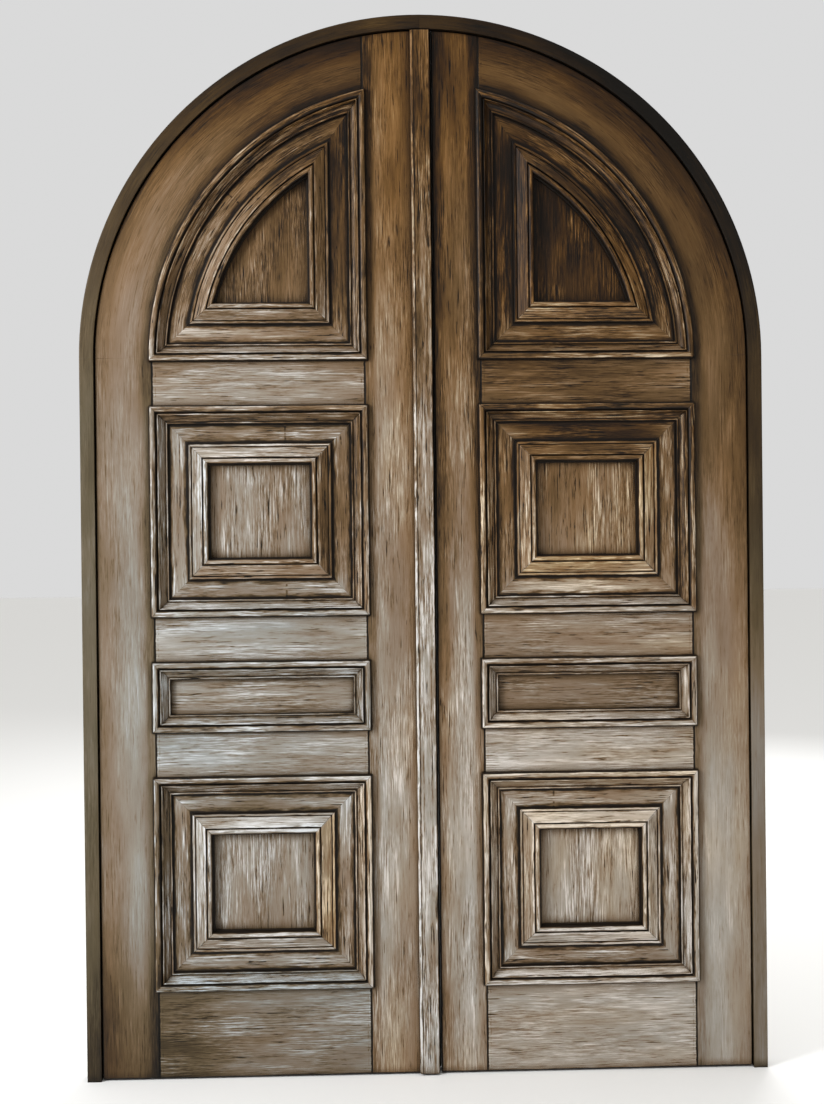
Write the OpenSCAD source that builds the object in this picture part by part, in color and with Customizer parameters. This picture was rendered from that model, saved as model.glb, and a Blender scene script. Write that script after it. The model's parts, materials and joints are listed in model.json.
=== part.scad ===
// Pair of arched doors in their frame, with a semicircular head.
// Origin: bottom centre of the frame, at half its depth. +X right, +Z up, and the front looks to -Y.
// The left leaf carries the cover strip, which ends flush with its meeting edge, so each leaf opens by itself.
// Both leaves swing back, to +Y, on butt hinges.

/* [Frame] */
// Clear width between the frame's stops, which is the diameter of the head
sight_w = 1504; // [1300:2:1900]
// Height of the springing line above the floor
springing_h = 1652; // [1350:1:2200]
// Width of the frame's face
frame_face_w = 32; // [28:1:60]
// How far the frame stands in front of the leaves
frame_proud = 6; // [2:1:20]
// How far the leaf's lip reaches behind the frame's stop
stop_overlap = 10; // [6:1:14]
// Gap between the leaf's lip and the frame's rebate
edge_gap = 3; // [2:0.5:5]
// Gap between the leaf's face and the frame's stop
face_gap = 4; // [2:0.5:6]
// Gap between the leaf's lip and the back of the stop
stop_gap = 1; // [0.5:0.5:3]

/* [Leaves] */
// Thickness of a leaf
leaf_t = 45; // [40:1:60]
// Depth of the step around the front of a leaf
lip_step = 12; // [8:1:16]
// Gap between the leaves and the floor
floor_gap = 4; // [2:1:15]
// Gap between the two leaves
meeting_gap = 5; // [4.5:0.5:8]
// Face width of the hinge stile and of the arch rail
hinge_stile_w = 128; // [112:1:180]
// Width of a meeting stile's face beside the cover strip
meeting_face_w = 111.1; // [95:0.1:150]
// Height of the three cross rails
rail_h = 115.5; // [80:0.5:160]
// Height of the bottom rail
bottom_rail_h = 206; // [120:1:300]
// Height of the opening for the narrow panel
narrow_opening_h = 148.5; // [110:0.5:220]
// How much taller the lower square opening is than the upper one
lower_extra_h = 7; // [0:1:60]

/* [Joinery] */
// Depth of a panel's face behind the leaf's face
board_depth = 14; // [10:1:18]
// Thickness of a panel, of its groove and of the tenons
board_t = 17; // [10:1:20]
// Depth of the panel grooves
groove_d = 12; // [8:1:16]
// Space left for a panel to swell at the bottom of its groove
swell_gap = 2; // [1:0.5:4]
// Length of a tenon
tenon_l = 70; // [40:1:75]
// How far a tenon stays inside the edges of its rail
tenon_inset = 25; // [16:1:35]
// Hairline between two glued pieces of one frame
hairline = 0.3; // [0.1:0.1:0.8]

/* [Mouldings] */
// Width of the bolection moulding
bolection_w = 42; // [36:1:60]
// How far the bolection moulding laps over the stiles and rails
bolection_lap = 8; // [5:1:12]
// How far the bolection moulding stands in front of the leaf
bolection_h = 13; // [9:1:20]
// Radius of the bolection moulding's bead
bolection_bead_r = 8.5; // [6:0.5:10]
// Width of the flat band
band_w = 45; // [25:1:70]
// Thickness of the flat band
band_t = 6; // [3:0.5:10]
// Width of the inner moulding
inner_w = 50; // [40:1:60]
// How far the inner moulding stands in front of the leaf
inner_h = 6.5; // [2:0.5:12]
// Radius of the inner moulding's bead
inner_bead_r = 6.5; // [4:0.5:8]

/* [Cover strip] */
// Width of the cover strip, which stands on the centre line
strip_w = 45; // [35:1:70]
// Thickness of the cover strip
strip_t = 11; // [8:1:20]
// Radius of the cover strip's front edges
strip_edge_r = 4; // [2:0.5:6]

/* [Hinges] */
// Number of hinges on a leaf
hinge_count = 4; // [3:1:5]
// Height of a hinge
hinge_h = 102; // [76:1:127]
// Width of a hinge's flap inside the wood
flap_w = 28; // [22:1:30]
// Thickness of a flap
flap_t = 3; // [2:0.5:4]
// Radius of the knuckles
knuckle_r = 6.5; // [5.5:0.5:8]
// Radius of the hinge pin
pin_r = 3; // [2.5:0.5:4]
// Running gap around the pin
pin_gap = 0.05; // [0.02:0.01:0.1]
// Gap between two knuckles
knuckle_gap = 0.4; // [0.2:0.1:1]
// Height of the lowest hinge's middle above the floor
low_hinge_z = 230; // [160:1:350]
// Depth of the highest hinge's middle below the springing line
high_hinge_drop = 190; // [120:1:350]

/* [Fixings] */
// Radius of the frame's fixing holes
fixing_r = 4; // [2.5:0.5:5]
// Radius of the counterbore for a fixing's head
fixing_head_r = 8; // [6:0.5:9]
// Depth of that counterbore
fixing_head_d = 5; // [3:0.5:7]
// Height of the lowest fixing, and drop of the highest one below the springing line
fixing_end = 110; // [70:1:130]

/* [Flush bolts] */
// Radius of a bolt's rod
bolt_r = 6; // [4:0.5:7]
// Travel of a bolt
bolt_travel = 18; // [12:1:20]
// Length of a bolt's rod
bolt_l = 150; // [110:1:220]
// Running gap around the rod
bolt_gap = 0.3; // [0.2:0.1:0.5]
// Distance of a rod's middle from the leaf's meeting edge
bolt_inset = 13; // [12:1:25]
// Width of a bolt's face plate
plate_w = 24; // [18:1:28]
// Height of a bolt's face plate
plate_h = 100; // [80:1:120]
// Thickness of a bolt's face plate
plate_t = 2.5; // [2:0.5:4]
// Radius of the finger stud
stud_r = 3.5; // [2.5:0.5:4.5]

/* [Hidden] */
$fn = 180;
SMALL = 48;

// How far a cut runs past the surface that it opens
CUT = 1;

// Colours
stile_colour = [0.50, 0.43, 0.34];
rail_colour = [0.53, 0.46, 0.37];
panel_colour = [0.40, 0.33, 0.26];
moulding_colour = [0.58, 0.51, 0.43];
band_colour = [0.45, 0.38, 0.30];
frame_colour = [0.30, 0.27, 0.22];
iron_colour = [0.20, 0.19, 0.18];

// Radii of the concentric arcs, which are also half widths below the springing line
sight_r = sight_w / 2;
frame_r = sight_r + frame_face_w;
lip_r = sight_r + stop_overlap;
rebate_r = lip_r + edge_gap;
face_r = sight_r - face_gap;
opening_r = face_r - hinge_stile_w;

// Distances from the centre line: the meeting edges stand to the right of it, and the openings are symmetrical
left_edge_x = strip_w / 2;
right_edge_x = left_edge_x + meeting_gap;
meeting_inner_x = left_edge_x + meeting_face_w;

// Depths along Y
frame_depth = frame_proud + leaf_t;
face_y = frame_proud - frame_depth / 2;
back_y = frame_depth / 2;

// Heights of the rails and openings, from the bottom up
square_h = (springing_h - floor_gap - 3 * rail_h - bottom_rail_h - narrow_opening_h - lower_extra_h) / 2;
lower_z = floor_gap + bottom_rail_h;
lower_rail_z = lower_z + square_h + lower_extra_h;
narrow_z = lower_rail_z + rail_h;
middle_rail_z = narrow_z + narrow_opening_h;
upper_z = middle_rail_z + rail_h;
upper_rail_z = upper_z + square_h;

// Layers behind the leaf's face
board_back = board_depth + board_t;
tongue = groove_d - swell_gap;

// Places of the rings of moulding, counted in from the outer edge of the bolection
band_in = bolection_w;
inner_in = bolection_w + band_w;

// Hinges
knuckle_clear = 0.5;
hinge_axis_x = lip_r + edge_gap / 2;
hinge_axis_y = back_y + knuckle_r + knuckle_clear;
hinge_step = (springing_h - high_hinge_drop - low_hinge_z) / (hinge_count - 1);
hinge_zs = [for (i = [0 : hinge_count - 1]) low_hinge_z + i * hinge_step];
knuckle_count = 5;
knuckle_l = hinge_h / knuckle_count;
flap_screw_r = 2.1;
flap_screw_head_r = 4.3;
flap_screw_l = 14;
flap_screw_sink = 0.1;
screw_fit = 0.1;
pin_head_h = 3;
pin_head_r = knuckle_r - 1;
// Each screw of a flap: height from the hinge's middle, and distance from the leaf's back
flap_screws = [[-0.35, 9], [0, 19], [0.35, 9]];

// Fixings stand in the spaces between the hinges
fixing_zs = [
    fixing_end,
    low_hinge_z + hinge_step / 2,
    low_hinge_z + (hinge_count - 1.5) * hinge_step,
    springing_h - fixing_end
];
fixing_y = back_y - (leaf_t - lip_step) / 2;

// Flush bolts, in the thick part of the left meeting stile
bolt_x = left_edge_x - bolt_inset;
bolt_y = back_y - (leaf_t - lip_step) / 2;
bolt_reach_x = abs(bolt_x) + bolt_r;
bolt_sink = 3;
bolt_top_z = springing_h + sqrt(lip_r * lip_r - bolt_reach_x * bolt_reach_x) - bolt_sink;
bolt_bottom_z = floor_gap + bolt_sink;
strike_wall = 3;
stud_from_end = 20;
stud_from_tip = bolt_l - stud_from_end;
stud_sink = 0.5;
stud_gap = 0.5;
slot_end_gap = 1;
plate_z = -stud_from_tip + bolt_travel / 2 - plate_h / 2;

// A frame for drawing in elevation: X stays, Y becomes height, and Z counts from the leaf's face to the front
module upright() translate([0, face_y, 0]) rotate([90, 0, 0]) children();

// Extrudes an elevation from one distance in front of the leaf's face to another
module layer(from, to) translate([0, 0, from]) linear_extrude(to - from) children();

// A rectangle between two corners
module rect(x0, z0, x1, z1) translate([x0, z0]) square([x1 - x0, z1 - z0]);

// What is drawn for the left side, put on the right one
module mirrored() mirror([1, 0, 0]) children();

// ---- Frame ----

// Section of the frame: X is the distance from the centre line, Y the distance from the leaf's face
module frame_section() {
    polygon([
        [sight_r, frame_proud],
        [frame_r, frame_proud],
        [frame_r, -leaf_t],
        [rebate_r, -leaf_t],
        [rebate_r, -lip_step + stop_gap],
        [sight_r, -lip_step + stop_gap]
    ]);
}

// The tenons at the springing stand behind the stop, and the crown's tenon in the stop, clear of the bolt
joint_t = 9;
joint_l = 40;
joint_w = 24;
joint_setback = 4;
joint_room = 1;
joint_r = (rebate_r + frame_r) / 2;
joint_from = -lip_step - joint_setback - joint_w;
crown_joint_l = 30;
crown_joint_w = 10;
crown_z = springing_h + (sight_r + frame_r) / 2;
crown_joint_from = frame_proud - joint_setback - crown_joint_w;

// The tenon on the lower end of a head piece, or its mortise with some room at the end
module head_tenon(room) {
    upright() layer(joint_from, joint_from + joint_w)
        rect(-joint_r - joint_t / 2, springing_h - joint_l - room, -joint_r + joint_t / 2, springing_h);
}

// The tenon that joins the two head pieces at the crown
module crown_tenon(room) {
    upright() layer(crown_joint_from, crown_joint_from + crown_joint_w)
        rect(0, crown_z - joint_t / 2, crown_joint_l + room, crown_z + joint_t / 2);
}

// The hole in the head that the upper bolt shoots into
module strike_hole() {
    translate([bolt_x, bolt_y, springing_h])
        cylinder(h = frame_r - strike_wall, r = bolt_r + 2 * bolt_gap, $fn = SMALL);
}

module jamb() {
    color(frame_colour) difference() {
        rotate([0, 0, 180]) translate([0, -face_y, 0]) linear_extrude(springing_h) frame_section();
        head_tenon(joint_room);
        frame_flap_pockets();
        for (z = fixing_zs) translate([-rebate_r, fixing_y, z]) rotate([0, -90, 0]) {
            translate([0, 0, -CUT]) cylinder(h = frame_face_w + 2 * CUT, r = fixing_r, $fn = SMALL);
            translate([0, 0, -CUT]) cylinder(h = fixing_head_d + CUT, r = fixing_head_r, $fn = SMALL);
        }
    }
}

module head_quarter(from) {
    upright() translate([0, springing_h, 0]) rotate([0, 0, from]) rotate_extrude(angle = 90) frame_section();
}

module left_head() {
    color(frame_colour) difference() {
        union() {
            head_quarter(90);
            head_tenon(0);
            crown_tenon(0);
        }
        strike_hole();
    }
}

module right_head() {
    color(frame_colour) difference() {
        union() {
            head_quarter(0);
            mirrored() head_tenon(0);
        }
        crown_tenon(joint_room);
        strike_hole();
    }
}

// ---- Stiles and rails, drawn for the left leaf ----

// A member of the leaf: child 0 is its elevation at the face, child 1 its elevation behind the step
module member() {
    upright() {
        layer(-lip_step, 0) children(0);
        layer(-leaf_t, -lip_step) children(1);
    }
}

// The layer that holds the panels, their grooves and the tenons
module core() upright() layer(-board_back, -board_depth) children();

// The mortises that the four rails leave in a stile: from and to are distances from the centre line
module rail_mortises(from, to) {
    core() {
        for (z = [upper_rail_z, middle_rail_z, lower_rail_z])
            rect(-to, z + tenon_inset, -from, z + rail_h - tenon_inset);
        rect(-to, floor_gap + tenon_inset, -from, lower_z - tenon_inset);
    }
}

// The arch rail's foot tenon stands between the upper rail's tenon and the leaf's edge
tenon_wall = 10;
foot_tenon_from = opening_r + tenon_l + tenon_wall;
foot_tenon_to = face_r - tenon_wall;
end_tenon_low = springing_h + opening_r + tenon_wall;
end_tenon_high = end_tenon_low + hinge_stile_w / 2;

// The arch rail's tenons: down into the hinge stile, and across into the meeting stile
module arch_tenons(room) {
    core() {
        rect(-foot_tenon_to, springing_h - tenon_l - room, -foot_tenon_from, springing_h);
        rect(-meeting_inner_x, end_tenon_low, -meeting_inner_x + tenon_l + room, end_tenon_high);
    }
}

module hinge_stile() {
    color(stile_colour) difference() {
        member() {
            rect(-face_r, floor_gap, -opening_r, springing_h);
            rect(-lip_r, floor_gap, -opening_r, springing_h);
        }
        core() rect(-opening_r - groove_d, floor_gap - CUT, -opening_r + CUT, springing_h + CUT);
        rail_mortises(opening_r, opening_r + tenon_l + swell_gap);
        arch_tenons(swell_gap);
        leaf_flap_pockets();
    }
}

module meeting_outline(edge_x, r) {
    rect(-meeting_inner_x, floor_gap, edge_x, springing_h);
    intersection() {
        rect(-meeting_inner_x, springing_h, edge_x, springing_h + r);
        translate([0, springing_h]) circle(r);
    }
}

module meeting_stile(edge_x) {
    groove_r = opening_r + groove_d;
    groove_x = meeting_inner_x - groove_d;
    groove_top = springing_h + sqrt(groove_r * groove_r - groove_x * groove_x);
    difference() {
        member() {
            meeting_outline(edge_x, face_r);
            meeting_outline(edge_x, lip_r);
        }
        core() rect(-meeting_inner_x - CUT, floor_gap - CUT, -groove_x, groove_top);
        rail_mortises(meeting_inner_x - tenon_l - swell_gap, meeting_inner_x);
        arch_tenons(swell_gap);
    }
}

module left_meeting_stile() {
    color(stile_colour) difference() {
        meeting_stile(left_edge_x);
        at_upper_bolt() bolt_pocket();
        at_lower_bolt() bolt_pocket();
    }
}

module right_meeting_stile() color(stile_colour) mirrored() meeting_stile(-right_edge_x);

module arch_rail() {
    color(stile_colour) {
        difference() {
            upright() translate([0, springing_h, 0]) rotate([0, 0, 90]) rotate_extrude(angle = 90) polygon([
                [opening_r, 0],
                [face_r, 0],
                [face_r, -lip_step],
                [lip_r, -lip_step],
                [lip_r, -leaf_t],
                [opening_r, -leaf_t],
                [opening_r, -board_back],
                [opening_r + groove_d, -board_back],
                [opening_r + groove_d, -board_depth],
                [opening_r, -board_depth]
            ]);
            upright() layer(-leaf_t - CUT, CUT) rect(-meeting_inner_x, springing_h, CUT, springing_h + frame_r);
        }
        arch_tenons(0);
    }
}

// A rail between the stiles: its elevation runs from z to z + h, with a groove above or below
module rail(z, h, groove_below) {
    haunch_x = opening_r + groove_d;
    haunch_end = meeting_inner_x - groove_d;
    color(rail_colour) difference() {
        union() {
            upright() layer(-leaf_t, 0) rect(-opening_r, z, -meeting_inner_x, z + h);
            core() rect(-haunch_x, z, -haunch_end, z + h);
            core() rect(-opening_r - tenon_l, z + tenon_inset, -meeting_inner_x + tenon_l, z + h - tenon_inset);
        }
        core() rect(-haunch_x - CUT, z + h - groove_d, -haunch_end + CUT, z + h + CUT);
        if (groove_below) core() rect(-haunch_x - CUT, z - CUT, -haunch_end + CUT, z + groove_d);
    }
}

module upper_rail() rail(upper_rail_z, rail_h, true);
module middle_rail() rail(middle_rail_z, rail_h, true);
module lower_rail() rail(lower_rail_z, rail_h, true);
module bottom_rail() rail(floor_gap, bottom_rail_h, false);

// ---- Panels ----

module board(z, h) {
    color(panel_colour) core()
        rect(-opening_r - tongue, z - tongue, -meeting_inner_x + tongue, z + h + tongue);
}

module arch_panel() {
    color(panel_colour) core() intersection() {
        translate([0, springing_h]) circle(opening_r + tongue);
        rect(-frame_r, springing_h - tongue, -meeting_inner_x + tongue, springing_h + frame_r);
    }
}

module upper_panel() board(upper_z, square_h);
module narrow_panel() board(narrow_z, narrow_opening_h);
module lower_panel() board(lower_z, square_h + lower_extra_h);

// ---- Mouldings ----
// In each section X runs in from the outer edge, and Y is the distance in front of the leaf's face.

// Width of the narrow groove beside a bead
quirk = 1.8;
bead_inset = 0.5;
ridge_w = 2;
ridge_drop = 4;
fillet_w = 4.5;
fillet_y = -3;
cove_low_y = -6.2;

// From the outer edge: a bead, a quirk, a ridge, a cove that falls to its lowest point, and a fillet
module bolection_section() {
    bead_x = bead_inset + bolection_bead_r;
    bead_y = bolection_h - bolection_bead_r;
    ridge_x = bead_x + bolection_bead_r + quirk;
    ridge_y = bolection_h - ridge_drop;
    cove_end = bolection_w - fillet_w;
    cove_r = cove_end - ridge_x - ridge_w;
    difference() {
        union() {
            polygon([
                [0, 0],
                [0, bead_y],
                [ridge_x, bead_y],
                [ridge_x, ridge_y],
                [cove_end, ridge_y],
                [cove_end, fillet_y],
                [bolection_w, fillet_y],
                [bolection_w, -board_depth],
                [bolection_lap, -board_depth],
                [bolection_lap, 0]
            ]);
            intersection() {
                translate([bead_x, bead_y]) circle(bolection_bead_r, $fn = SMALL);
                rect(0, bead_y - CUT, bolection_w, bolection_h + CUT);
            }
        }
        intersection() {
            translate([cove_end, cove_low_y + cove_r]) circle(cove_r, $fn = SMALL);
            rect(0, -board_depth, cove_end, bolection_h);
        }
    }
}

module band_section() {
    band_back = -board_depth;
    rect(0, band_back, band_w, band_back + band_t);
}

lip_w = 7;
lip_h = 4.5;
lip_groove_d = 3;
slope_drop = 0.5;
slope_top_drop = 1;
heel_w = 3;
heel_h = 7;

// From the outer edge: a lip, a groove, a slope that rises inwards, a quirk, a bead and a low heel
module inner_section() {
    lip_y = -board_depth + band_t + lip_h;
    slope_x = lip_w + quirk;
    bead_x = inner_w - heel_w - inner_bead_r;
    bead_y = inner_h - inner_bead_r;
    slope_end = bead_x - inner_bead_r - quirk;
    polygon([
        [0, -board_depth],
        [0, lip_y],
        [lip_w, lip_y],
        [lip_w, lip_y - lip_groove_d],
        [slope_x, lip_y - lip_groove_d],
        [slope_x, lip_y - slope_drop],
        [slope_end, inner_h - slope_top_drop],
        [slope_end, bead_y],
        [inner_w - heel_w, bead_y],
        [inner_w - heel_w, -board_depth + heel_h],
        [inner_w, -board_depth + heel_h],
        [inner_w, -board_depth]
    ]);
    translate([bead_x, bead_y]) circle(inner_bead_r, $fn = SMALL);
}

// Cuts of mitres are this far apart along their pieces
mitre_gap = hairline / sqrt(2);

// One straight length from the start of its outer edge, mitred at both ends towards its inner edge
module mitred_length(l, w) {
    intersection() {
        rotate([90, 0, 90]) linear_extrude(l) children();
        layer(-board_depth - CUT, bolection_h + CUT) polygon([
            [mitre_gap / 2, 0],
            [l - mitre_gap / 2, 0],
            [l - w - mitre_gap / 2, w],
            [w + mitre_gap / 2, w]
        ]);
    }
}

// Four lengths of one section around an opening, set in from the bolection's outer edge
module square_ring(z, h, in, w) {
    x0 = -opening_r - bolection_lap + in;
    x1 = -meeting_inner_x + bolection_lap - in;
    z0 = z - bolection_lap + in;
    z1 = z + h + bolection_lap - in;
    upright() {
        translate([x0, z0]) mitred_length(x1 - x0, w) children();
        translate([x1, z0]) rotate([0, 0, 90]) mitred_length(z1 - z0, w) children();
        translate([x1, z1]) rotate([0, 0, 180]) mitred_length(x1 - x0, w) children();
        translate([x0, z1]) rotate([0, 0, 270]) mitred_length(z1 - z0, w) children();
    }
}

// Corners of the arched opening, set in from the bolection's outer edge and counted from the arc's centre
function low_z(in) = -bolection_lap + in;
function side_x(in) = -meeting_inner_x + bolection_lap - in;
function arc_r(in) = opening_r + bolection_lap - in;
function foot(in) = [-sqrt(arc_r(in) * arc_r(in) - low_z(in) * low_z(in)), low_z(in)];
function heel(in) = [side_x(in), low_z(in)];
function tip(in) = [side_x(in), sqrt(arc_r(in) * arc_r(in) - side_x(in) * side_x(in))];

// The arc is swept a little past the foot, and the mitres cut it to length
arc_sweep = 100;

// Three lengths of one section around the arched opening: along the bottom, up the side and along the arc
module arch_ring(in, w) {
    out = [in, in + w];
    along = [mitre_gap / 2, 0];
    up = [0, mitre_gap / 2];
    // How many widths the arc's cut runs past its outer edge
    far = 3;
    upright() translate([0, springing_h, 0]) {
        intersection() {
            translate([foot(in)[0], low_z(in)]) rotate([90, 0, 90])
                linear_extrude(side_x(in) - foot(in)[0]) children();
            layer(-board_depth - CUT, bolection_h + CUT) polygon([
                foot(out[0]) + along, heel(out[0]) - along, heel(out[1]) - along, foot(out[1]) + along
            ]);
        }
        intersection() {
            translate([side_x(in), low_z(in)]) rotate([0, 0, 90]) rotate([90, 0, 90])
                linear_extrude(tip(in)[1] - low_z(in)) children();
            layer(-board_depth - CUT, bolection_h + CUT) polygon([
                heel(out[0]) + up, tip(out[0]) - up, tip(out[1]) - up, heel(out[1]) + up
            ]);
        }
        intersection() {
            rotate([0, 0, 90]) rotate_extrude(angle = arc_sweep)
                translate([arc_r(in), 0]) mirror([1, 0]) children();
            layer(-board_depth - CUT, bolection_h + CUT) polygon([
                foot(out[1]) + up,
                foot(out[0]) + up + far * (foot(out[0]) - foot(out[1])),
                [-frame_r, frame_r],
                tip(out[0]) - along + far * (tip(out[0]) - tip(out[1])),
                tip(out[1]) - along
            ]);
        }
    }
}

module arch_bolection() color(moulding_colour) arch_ring(0, bolection_w) bolection_section();
module upper_bolection() color(moulding_colour) square_ring(upper_z, square_h, 0, bolection_w) bolection_section();
module narrow_bolection() {
    color(moulding_colour) square_ring(narrow_z, narrow_opening_h, 0, bolection_w) bolection_section();
}
module lower_bolection() {
    color(moulding_colour) square_ring(lower_z, square_h + lower_extra_h, 0, bolection_w) bolection_section();
}

module arch_band() color(band_colour) arch_ring(band_in, band_w) band_section();
module upper_band() color(band_colour) square_ring(upper_z, square_h, band_in, band_w) band_section();
module lower_band() {
    color(band_colour) square_ring(lower_z, square_h + lower_extra_h, band_in, band_w) band_section();
}

module arch_inner_moulding() color(moulding_colour) arch_ring(inner_in, inner_w) inner_section();
module upper_inner_moulding() {
    color(moulding_colour) square_ring(upper_z, square_h, inner_in, inner_w) inner_section();
}
module lower_inner_moulding() {
    color(moulding_colour) square_ring(lower_z, square_h + lower_extra_h, inner_in, inner_w) inner_section();
}

// ---- Cover strip ----

module strip_section() {
    flat_x = strip_w / 2 - strip_edge_r;
    rect(-strip_w / 2, 0, strip_w / 2, strip_t - strip_edge_r);
    rect(-flat_x, 0, flat_x, strip_t);
    for (x = [-flat_x, flat_x]) translate([x, strip_t - strip_edge_r]) circle(strip_edge_r, $fn = SMALL);
}

module cover_strip() {
    color(moulding_colour) intersection() {
        translate([0, face_y, floor_gap]) mirror([0, 1, 0])
            linear_extrude(springing_h + face_r - floor_gap) strip_section();
        upright() layer(-CUT, strip_t + CUT) union() {
            rect(-strip_w, floor_gap, strip_w, springing_h);
            intersection() {
                rect(-strip_w, springing_h, strip_w, springing_h + frame_r);
                translate([0, springing_h]) circle(face_r);
            }
        }
    }
}

// ---- Hinges, drawn for the left side ----

// The knuckles of one flap: the frame's are the first, third and fifth, and the leaf's the others
module knuckles(first, r, gap) {
    for (i = [first : 2 : knuckle_count - 1])
        translate([-hinge_axis_x, hinge_axis_y, -hinge_h / 2 + i * knuckle_l + gap / 2])
            cylinder(h = knuckle_l - gap, r = r, $fn = SMALL);
}

// The plate of a flap, between two distances from the centre line
module flap_plate(from, to) {
    depth = flap_w + hinge_axis_y - back_y;
    translate([-to, back_y - flap_w, -hinge_h / 2]) cube([to - from, depth, hinge_h]);
}

// A hinge screw with its head at the flap's face, made larger by a fit, pointing to -X
module flap_screw(fit) {
    head_h = flap_screw_head_r - flap_screw_r;
    rotate([0, -90, 0]) {
        translate([0, 0, flap_screw_sink - fit])
            cylinder(h = head_h, r1 = flap_screw_head_r + fit, r2 = flap_screw_r + fit, $fn = SMALL);
        translate([0, 0, flap_screw_sink]) cylinder(h = flap_screw_l + fit, r = flap_screw_r + fit, $fn = SMALL);
    }
}

// The screws of every hinge: face is the flap's face and way is 1 into the frame or -1 into the leaf
module flap_screw_set(face, way, fit) {
    for (z = hinge_zs, s = flap_screws)
        translate([-face, back_y - s[1], z + s[0] * hinge_h])
            mirror([way < 0 ? 1 : 0, 0, 0]) flap_screw(fit);
}

module flaps(from, to, first) {
    other = 1 - first;
    for (z = hinge_zs) translate([0, 0, z]) difference() {
        union() {
            difference() {
                flap_plate(from, to);
                knuckles(other, knuckle_r + knuckle_gap, -knuckle_gap);
            }
            knuckles(first, knuckle_r, knuckle_gap);
        }
        translate([-hinge_axis_x, hinge_axis_y, -hinge_h])
            cylinder(h = 2 * hinge_h, r = pin_r + pin_gap, $fn = SMALL);
    }
}

module frame_flaps() {
    color(iron_colour) difference() {
        flaps(rebate_r, rebate_r + flap_t, 0);
        flap_screw_set(rebate_r, 1, screw_fit);
    }
}

module leaf_flaps() {
    color(iron_colour) difference() {
        flaps(lip_r - flap_t, lip_r, 1);
        flap_screw_set(lip_r, -1, screw_fit);
    }
}

module flap_pockets(from, to) {
    for (z = hinge_zs) translate([-to, back_y - flap_w, z - hinge_h / 2])
        cube([to - from, flap_w + CUT, hinge_h]);
}

module frame_flap_pockets() {
    flap_pockets(rebate_r - CUT, rebate_r + flap_t);
    flap_screw_set(rebate_r, 1, screw_fit);
}

module leaf_flap_pockets() {
    flap_pockets(lip_r - flap_t, lip_r + CUT);
    flap_screw_set(lip_r, -1, screw_fit);
}

module hinge_pins() {
    color(iron_colour) for (z = hinge_zs) translate([-hinge_axis_x, hinge_axis_y, z]) {
        translate([0, 0, -hinge_h / 2 - pin_head_h]) cylinder(h = hinge_h + pin_head_h, r = pin_r, $fn = SMALL);
        translate([0, 0, hinge_h / 2]) cylinder(h = pin_head_h, r = pin_head_r, $fn = SMALL);
    }
}

module frame_screws() color(iron_colour) flap_screw_set(rebate_r, 1, 0);
module leaf_screws() color(iron_colour) flap_screw_set(lip_r, -1, 0);

// ---- Flush bolts of the left leaf ----

// A bolt drawn with its tip at the origin, pointing up, and its stud towards the meeting edge at +X
module bolt() {
    translate([0, 0, -bolt_l]) cylinder(h = bolt_l, r = bolt_r, $fn = SMALL);
    translate([0, 0, -stud_from_tip]) rotate([0, 90, 0])
        cylinder(h = bolt_inset - stud_sink, r = stud_r, $fn = SMALL);
}

// The slot from the rod's middle out past the meeting edge, open for the stud's travel
module stud_slot() {
    half_w = stud_r + stud_gap;
    half_end = stud_r + slot_end_gap;
    translate([0, -half_w, -stud_from_tip - half_end])
        cube([bolt_inset + CUT, 2 * half_w, bolt_travel + 2 * half_end]);
}

// The bolt's bore, the slot for its stud and the seat of its face plate
module bolt_pocket() {
    translate([0, 0, -bolt_l - CUT])
        cylinder(h = bolt_l + bolt_travel + CUT, r = bolt_r + bolt_gap, $fn = SMALL);
    stud_slot();
    translate([bolt_inset - plate_t, -plate_w / 2, plate_z]) cube([plate_t + CUT, plate_w, plate_h]);
}

module bolt_plate() {
    difference() {
        translate([bolt_inset - plate_t, -plate_w / 2, plate_z]) cube([plate_t, plate_w, plate_h]);
        stud_slot();
    }
}

module at_upper_bolt() translate([bolt_x, bolt_y, bolt_top_z]) children();
module at_lower_bolt() translate([bolt_x, bolt_y, bolt_bottom_z]) mirror([0, 0, 1]) children();

module upper_bolt() color(iron_colour) at_upper_bolt() bolt();
module lower_bolt() color(iron_colour) at_lower_bolt() bolt();

module bolt_plates() {
    color(iron_colour) {
        at_upper_bolt() bolt_plate();
        at_lower_bolt() bolt_plate();
    }
}

// ---- Nodes ----

jamb();  // left_jamb
mirrored() jamb();  // right_jamb
left_head();
right_head();
hinge_stile();  // left_hinge_stile
left_meeting_stile();
arch_rail();  // left_arch_rail
upper_rail();  // left_upper_rail
middle_rail();  // left_middle_rail
lower_rail();  // left_lower_rail
bottom_rail();  // left_bottom_rail
arch_panel();  // left_arch_panel
upper_panel();  // left_upper_panel
narrow_panel();  // left_narrow_panel
lower_panel();  // left_lower_panel
arch_bolection();  // left_arch_bolection
upper_bolection();  // left_upper_bolection
narrow_bolection();  // left_narrow_bolection
lower_bolection();  // left_lower_bolection
arch_band();  // left_arch_band
upper_band();  // left_upper_band
lower_band();  // left_lower_band
arch_inner_moulding();  // left_arch_inner_moulding
upper_inner_moulding();  // left_upper_inner_moulding
lower_inner_moulding();  // left_lower_inner_moulding
cover_strip();
mirrored() hinge_stile();  // right_hinge_stile
right_meeting_stile();
mirrored() arch_rail();  // right_arch_rail
mirrored() upper_rail();  // right_upper_rail
mirrored() middle_rail();  // right_middle_rail
mirrored() lower_rail();  // right_lower_rail
mirrored() bottom_rail();  // right_bottom_rail
mirrored() arch_panel();  // right_arch_panel
mirrored() upper_panel();  // right_upper_panel
mirrored() narrow_panel();  // right_narrow_panel
mirrored() lower_panel();  // right_lower_panel
mirrored() arch_bolection();  // right_arch_bolection
mirrored() upper_bolection();  // right_upper_bolection
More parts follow.
